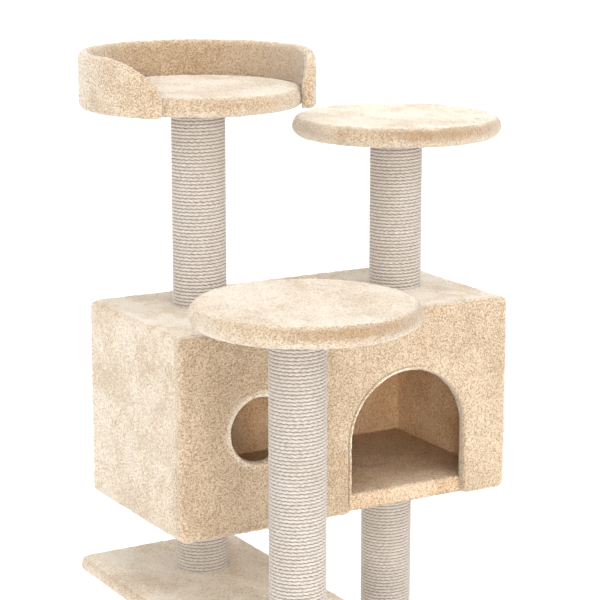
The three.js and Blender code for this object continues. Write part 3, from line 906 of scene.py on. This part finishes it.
def path_outline(arcs, step):
    """An Outline of arcs joined by straight lines, anticlockwise round the material. Each arc is its centre,
    radius, first and last angle in quarter turns, and how tight an inset is at its start and its end."""
    points, inward, tight = [], [], []
    quarter = math.pi / 2
    a = on_circle(*arcs[-1][:2], quarter * arcs[-1][3])
    for centre, radius, begin, end, start_tight, end_tight in arcs:
        begin, end = quarter * begin, quarter * end
        b = on_circle(centre, radius, begin)
        length = np.linalg.norm(b - a)
        count = max(1, round(length / step))
        points.extend(a + (b - a) * t for t in np.arange(count) / count)
        inward.extend([np.array((a[1] - b[1], b[0] - a[0])) / length] * count)
        tight.extend([start_tight] * count)

        count = max(3, round(abs(end - begin) * radius / step))
        for angle in begin + (end - begin) * np.arange(count) / count:
            out = on_circle((0, 0), 1, angle)
            points.append(on_circle(centre, radius, angle))
            inward.append(-out if end > begin else out)
        tight.extend(start_tight + (end_tight - start_tight) * np.arange(count) / count)
        a = on_circle(centre, radius, end)
    return Outline(points, inward, np.array(tight))


def front_outlines(wide, high):
    """The front panel's outline with its door notch, and its window, from the house's lower left corner."""
    centre, half, top = DOOR
    left, right, spring = centre - half, centre + half, top - half
    corner, foot = HOUSE_CORNER, DOOR_FOOT
    arcs = [
        ((wide - corner, corner), corner, -1, 0, 1, 1),
        ((wide - corner, high - corner), corner, 0, 1, 1, 1),
        ((corner, high - corner), corner, 1, 2, 1, 1),
        ((corner, corner), corner, 2, 3, 1, 1),
        ((left - foot, foot), foot, -1, 0, 1, TIGHT),
        ((centre, spring), half, 2, 0, TIGHT, TIGHT),
        ((right + foot, foot), foot, 2, 3, TIGHT, 1),
    ]
    return [path_outline(arcs, FINE), circle(*WINDOW, FINE, hole=True)]


def points_round_door():
    """Points on the front panel in rows round the door, close enough together to carry the stitching."""
    centre, half, top = DOOR
    spring, foot, step = top - half, 12 * MM, FINE * 0.8
    points = []
    for radius in half + np.arange(4.3, 9.0, 0.75) * MM:
        points += [(centre - radius, z) for z in np.arange(foot, spring, step)]
        turn = np.arange(math.pi, 0, -step / radius)
        points += [(centre + radius * math.cos(a), spring + radius * math.sin(a)) for a in turn]
        points += [(centre + radius, z) for z in np.arange(spring, foot, -step)]
    return points


def add_house_front():
    """The front panel's own cover, rolled round its edges, the door and the window."""
    low, size = HOUSE_LOW, HOUSE_HIGH - HOUSE_LOW
    edge, back_edge = HOUSE_EDGE - 1.0 * MM, 3 * MM
    section = rounded_edge(edge, 8) + [(0, d) for d in np.linspace(edge, FRONT_DEEP - back_edge, 3)[1:]]
    section += [(inset, FRONT_DEEP - depth) for inset, depth in reversed(rounded_edge(back_edge, 4))][1:]
    outlines = front_outlines(size.x, size.z)
    made = plate("house_front_plush", outlines, section, placed(low, X, Z, Y), FINE, points_round_door())

    # Stitching holds the plush down a little way outside the door, and the edge stands up as a bead.
    centre, half, top = DOOR
    points = coordinates(made)
    x, y, z = (points - np.array(low)).T
    across, above = x - centre, z - (top - half)
    outside = np.where(above > 0, np.hypot(across, above), np.abs(across)) - half
    on_left = 1 - 0.85 * smooth(across, -0.3 * half, 0.5 * half)
    groove = np.exp(-(((outside - STITCH) / (1.25 * MM)) ** 2)) * on_left
    bead = np.exp(-(((outside - 0.45 * STITCH) / (1.9 * MM)) ** 2)) * on_left
    seen = (y < 5 * MM) * np.clip((z - 10 * MM) / (8 * MM), 0, 1)
    points[:, 1] += (2.4 * groove - 0.9 * bead) * seen * MM
    set_coordinates(made, points)
    pile(made, np.where(points[:, 1] < low.y + FRONT_DEEP - 1 * MM, 1.0, 0.3) * (1 - 0.7 * groove), seed=51)
    dress_plush(made, "house_front_cover", left=0.2)
    # Painted shade in the groove along the stitching.
    mark(made, "parted_and_painted_shade", groove * seen)

    # Painted highlight along the bead on the door's left and in a ring round the window, on top of the
    # painted light from the way the panel faces.
    window_x, window_z, window_radius = WINDOW
    from_window = np.hypot(x - window_x, z - window_z) - window_radius
    ring = (1 - smooth(from_window, 3 * MM, 13 * MM)) * (y < 5 * MM)
    mark(made, "nap_and_painted_light", painted_light_by_facing(made, left=0.2) + 0.85 * bead * seen * (across < 0) + 0.8 * ring)


# ---- The house's lining ----

LINING = 2.4 * MM
GAP = 0.3 * MM
LEFT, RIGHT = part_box("house_left_board")[1].x + GAP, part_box("house_right_board")[0].x - GAP
BACK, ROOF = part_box("house_back_board")[0].y - GAP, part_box("house_roof_board")[0].z - GAP
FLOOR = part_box("house_floor_board")[1].z + GAP
BEHIND_FRONT = HOUSE_LOW.y + FRONT_DEEP + 0.4 * MM


def dress_lining(piece, material):
    dress(piece, material, "house_lining")


def add_floor_lining():
    """A floor that rolls over its own front edge."""
    front, roll = HOUSE_LOW.y + 13.2 * MM, 5.5 * MM
    top, bottom = FLOOR + LINING, HOUSE_LOW.z + 2.0 * MM
    outer = [(y, top) for y in np.arange(BACK, front + roll, -FINE)]
    outer += arc(front + roll, top - roll, roll, 90, 180, 8)
    outer += [(front, z) for z in np.linspace(top - roll, bottom, 9)[1:]]
    inner = front + 1.6 * MM
    section = outer + [(inner, bottom), (inner, FLOOR - 0.4 * MM), (front + LINING, FLOOR), (BACK, FLOOR)]
    across = np.linspace(LEFT + GAP, RIGHT - GAP, round((RIGHT - LEFT) / FINE))
    made = capped_sweep("house_floor_plush", [[(x, y, z) for y, z in section] for x in across])
    pile(made, np.tile(np.arange(len(section)) < len(outer), len(across)), seed=61)
    dress_lining(made, FLOOR_LINING_SHADED)
    # Painted light on the floor near its front edge, fading towards the back.
    mark(made, "nap_and_painted_light", 0.22 * (1 - smooth(coordinates(made)[:, 1] - front, 6 * MM, 85 * MM)) ** 2)


def add_wall_lining():
    """A strip up the left wall, the back and the right wall, bent round the two corners between them."""
    low, high = FLOOR + LINING + 0.2 * MM, ROOF - LINING - GAP
    bend, step = 7 * MM, FINE * 1.2
    path = [(LEFT, y) for y in np.arange(BEHIND_FRONT, BACK - bend, step)]
    path += arc(LEFT + bend, BACK - bend, bend, 180, 90, 6)
    path += [(x, BACK) for x in np.arange(LEFT + bend + FINE, RIGHT - bend, step)]
    path += arc(RIGHT - bend, BACK - bend, bend, 90, 0, 6)
    path += [(RIGHT, y) for y in np.arange(BACK - bend - FINE, BEHIND_FRONT, -step)]
    tangent = np.gradient(np.array(path), axis=0)
    tangent /= np.linalg.norm(tangent, axis=1)[:, None]
    heights = np.linspace(low, high, round((high - low) / step))
    rings = []
    for (x, y), (along_x, along_y) in zip(path, tangent):
        ring = [(x + along_y * LINING, y - along_x * LINING, z) for z in heights]
        rings.append(ring + [(x, y, high), (x, y, low)])
    made = capped_sweep("house_wall_lining", rings)
    pile(made, np.tile([1] * len(heights) + [0, 0], len(rings)), seed=63)
    dress_lining(made, WALL_LINING_SHADED)


def add_ceiling_lining():
    """Plush under the roof, with a hole round the head of each bolt."""
    x, y = (LEFT + RIGHT) / 2, (BEHIND_FRONT + BACK) / 2
    rim = RoundedRectangle(RIGHT - LEFT - 2 * GAP, BACK - BEHIND_FRONT - 0.4 * MM, 5 * MM, FINE * 1.5)
    bolts = [sum(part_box(name), Vector()) / 2 for name in ("roof_bolt_left", "roof_bolt_right")]
    holes = [circle(bolt.x - x, bolt.y - y, 12 * MM, FINE, hole=True) for bolt in bolts]
    section = rounded_edge(1 * MM, 3) + [(0, LINING)]
    place = placed((x, y, ROOF - LINING), X, Y, Z)
    made = plate("house_ceiling_lining", [rim, *holes], section, place, FINE * 1.8)
    pile_where(made, lambda p: p[:, 2] < ROOF - LINING * 0.6, 0.8, seed=65)
    dress_lining(made, WALL_LINING_SHADED)


def capped_sweep(name, rings):
    """A closed section carried along a path, with its two ends filled in."""
    rows, columns = len(rings), len(rings[0])
    points = np.concatenate(rings)
    quads = grid_quads(rows, columns, close_columns=True)
    caps = []
    for row, turn in ((0, 1), (rows - 1, -1)):
        ring = row * columns + np.arange(columns)
        caps.append(ring[fill([flat_of(points[ring])])[1]][:, ::turn])
    return new_piece(name, points, quads, np.concatenate(caps))


def flat_of(ring):
    """A flat ring of points in the two directions that it spans."""
    span = ring.max(0) - ring.min(0)
    keep = [axis for axis in range(3) if axis != int(np.argmin(span))]
    return ring[:, keep]


# ---- Posts wound with sisal ----

PITCH = 5.0 * MM
LAY = 18.0 * MM  # one twist of the rope
STRANDS = 2
STRAND = 1.55 * MM  # a strand's radius
VALLEY = 0.2  # how far the rope goes below its own middle between turns, as a part of its radius
ROPE_BORE = 34.3 * MM
ROPE_SIDES = 128
ROWS_A_TURN = 8


def add_rope(node, seed):
    """Close turns of a twisted rope round a tube."""
    low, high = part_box(node)
    centre = (low + high) / 2
    outer, rope = (high.x - low.x) / 2, PITCH / 2
    length, sides = high.z - low.z, ROPE_SIDES
    rows = round(length / PITCH * ROWS_A_TURN)
    z, theta = np.meshgrid(np.linspace(0, length, rows + 1), np.arange(sides) * TAU / sides, indexing="ij")
    phase = z / PITCH - theta / TAU
    turn_number = np.floor(phase)
    across = (phase - turn_number - 0.5) * PITCH
    along = (turn_number + theta / TAU) * TAU * outer
    wobble_place = np.stack([along.ravel(), np.full(along.size, 0.37 * seed), np.zeros(along.size)], -1)
    wobble = noise(wobble_place, 0.03, seed).reshape(along.shape)
    height = np.full(along.shape, -VALLEY * rope)
    for strand in range(STRANDS):
        turn = TAU * (along / LAY + strand / STRANDS) + 0.5 * wobble
        off = np.maximum(0.0, STRAND**2 - (across - (rope - STRAND) * np.cos(turn)) ** 2)
        height = np.maximum(height, np.where(off > 0, (rope - STRAND) * np.sin(turn) + np.sqrt(off), height))
    radius = outer - rope + height
    points = np.stack([np.cos(theta), np.sin(theta), z], -1)
    hair_place = np.stack([radius * np.cos(theta), radius * np.sin(theta), z + low.z], -1).reshape(-1, 3)
    radius = radius + 0.22 * MM * noise(hair_place, 0.0022, seed + 5).reshape(radius.shape)
    points[..., :2] *= np.minimum(radius, outer + 0.5 * MM)[..., None]
    ring = np.stack([np.cos(theta[0]), np.sin(theta[0])], -1) * ROPE_BORE
    points = np.concatenate([points.reshape(-1, 3), raised(ring, length), raised(ring, 0)])
    points += np.array((centre.x, centre.y, low.z))
    quads = grid_quads(rows + 3, sides, close_rows=True, close_columns=True)
    made = new_piece(node.replace("_post_sisal", "_rope"), points, quads)
    # How far down between the turns each point lies, which sets the painted shade there.
    groove_shade = 1 - (height / rope + VALLEY) / (1 + VALLEY)
    mark(made, "groove_shade", np.append(groove_shade, np.zeros(2 * sides)))
    dress(made, SISAL, node)


# ---- Bolts and studs ----

THREAD_PITCH, THREAD_DEPTH = 1.25 * MM, 0.5 * MM
BEVEL, BEVEL_LENGTH = 0.9 * MM, 1.0 * MM
FASTENER_SIDES = 36
BOLT_RADIUS = 4.0 * MM
SOCKET = 2.9 * MM  # from the middle to the corners of the hexagon key's socket
SOCKET_DEPTH = 2.6 * MM
HEAD_HEIGHT = 4.5 * MM


def threaded(radius, start, length):
    """(radius, height) pairs along rings of thread and round a bevelled end."""
    end = length - 1.2 * MM
    count = round((end - start) / THREAD_PITCH)
    step = (end - start) / count
    pairs = []
    for height in start + step * np.arange(count):
        pairs += [(radius - THREAD_DEPTH, height + 0.1 * step), (radius, height + 0.5 * step)]
        pairs += [(radius, height + 0.6 * step)]
    return pairs + [(radius, length - BEVEL_LENGTH), (radius - BEVEL, length), (0, length)]


def add_bolt(node, head_up):
    """A flanged button-head bolt with a hexagon socket, its head at the top or the bottom of its CAD pin."""
    low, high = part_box(node)
    flange = (high.x - low.x) / 2
    bevel = 0.3 * MM
    profile = [(0, SOCKET_DEPTH), (SOCKET, SOCKET_DEPTH), (SOCKET, bevel), (SOCKET + bevel, 0.0)]
    button = ((5.2, 0.0), (6.4, 0.3), (7.2, 1.0), (7.6, 2.0), (7.7, 3.1))
    profile += [(r * MM, height * MM) for r, height in button]
    profile += [(flange - bevel, 3.2 * MM), (flange, 3.5 * MM), (flange, 4.2 * MM)]
    profile += [(flange - bevel, HEAD_HEIGHT), (BOLT_RADIUS, HEAD_HEIGHT)]
    profile += threaded(BOLT_RADIUS, HEAD_HEIGHT, high.z - low.z)
    made, x, y, height = add_fastener(node, profile, head_up)
    across = np.hypot(x, y)
    socket = (across < SOCKET + 0.1 * MM) & (across > 0.5 * MM) & (height < SOCKET_DEPTH + 0.1 * MM)
    turn = np.mod(np.arctan2(y, x), math.pi / 3) - math.pi / 6
    scale = np.where(socket, math.cos(math.pi / 6) / np.cos(turn), 1.0) - 1
    set_coordinates(made, coordinates(made) + np.stack([x * scale, y * scale, 0 * x], -1))


def add_stud(node):
    """A length of threaded rod with bevelled ends."""
    low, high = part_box(node)
    radius = (high.x - low.x) / 2
    profile = [(0, 0.0), (radius - BEVEL, 0.0), (radius, BEVEL_LENGTH)]
    add_fastener(node, profile + threaded(radius, BEVEL_LENGTH, high.z - low.z), False)


def add_fastener(node, profile, upside_down):
    """Gives the turned piece, and its points' x and y from the axis and height along it."""
    low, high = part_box(node)
    centre = (low + high) / 2
    sign, start = (-1, high.z) if upside_down else (1, low.z)
    profile = [(r, sign * height) for r, height in profile]
    made = turned_piece(node + "_steel", profile, FASTENER_SIDES, (centre.x, centre.y, start))
    dress(made, ZINC, node)
    x, y, z = (coordinates(made) - np.array((centre.x, centre.y, start))).T
    return made, x, y, np.abs(z)


# ---- Put it together ----

add_camera()
add_lights()
add_floor()
set_view()
add_base()
add_low_platform()
for platform in ROUND_PLATFORMS:
    add_round_platform(*platform)
add_bed_rim()
add_house_wrap()
add_house_front()
add_floor_lining()
add_wall_lining()
add_ceiling_lining()
for number, name in enumerate(sorted(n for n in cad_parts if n.endswith("_sisal"))):
    add_rope(name, 71 + number)
for name in sorted(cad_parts):
    if "bolt" in name:
        add_bolt(name, name.startswith("floor"))
    elif "stud" in name:
        add_stud(name)

# The rest of the CAD model shows as it is, in these materials.
CAD_MATERIALS = {"board": CHIPBOARD, "strip": CHIPBOARD, "tube": CARDBOARD, "plug": SOFTWOOD}
for name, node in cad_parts.items():
    material = CAD_MATERIALS.get(name.split("_")[-1])
    if material:
        paint(node, material)
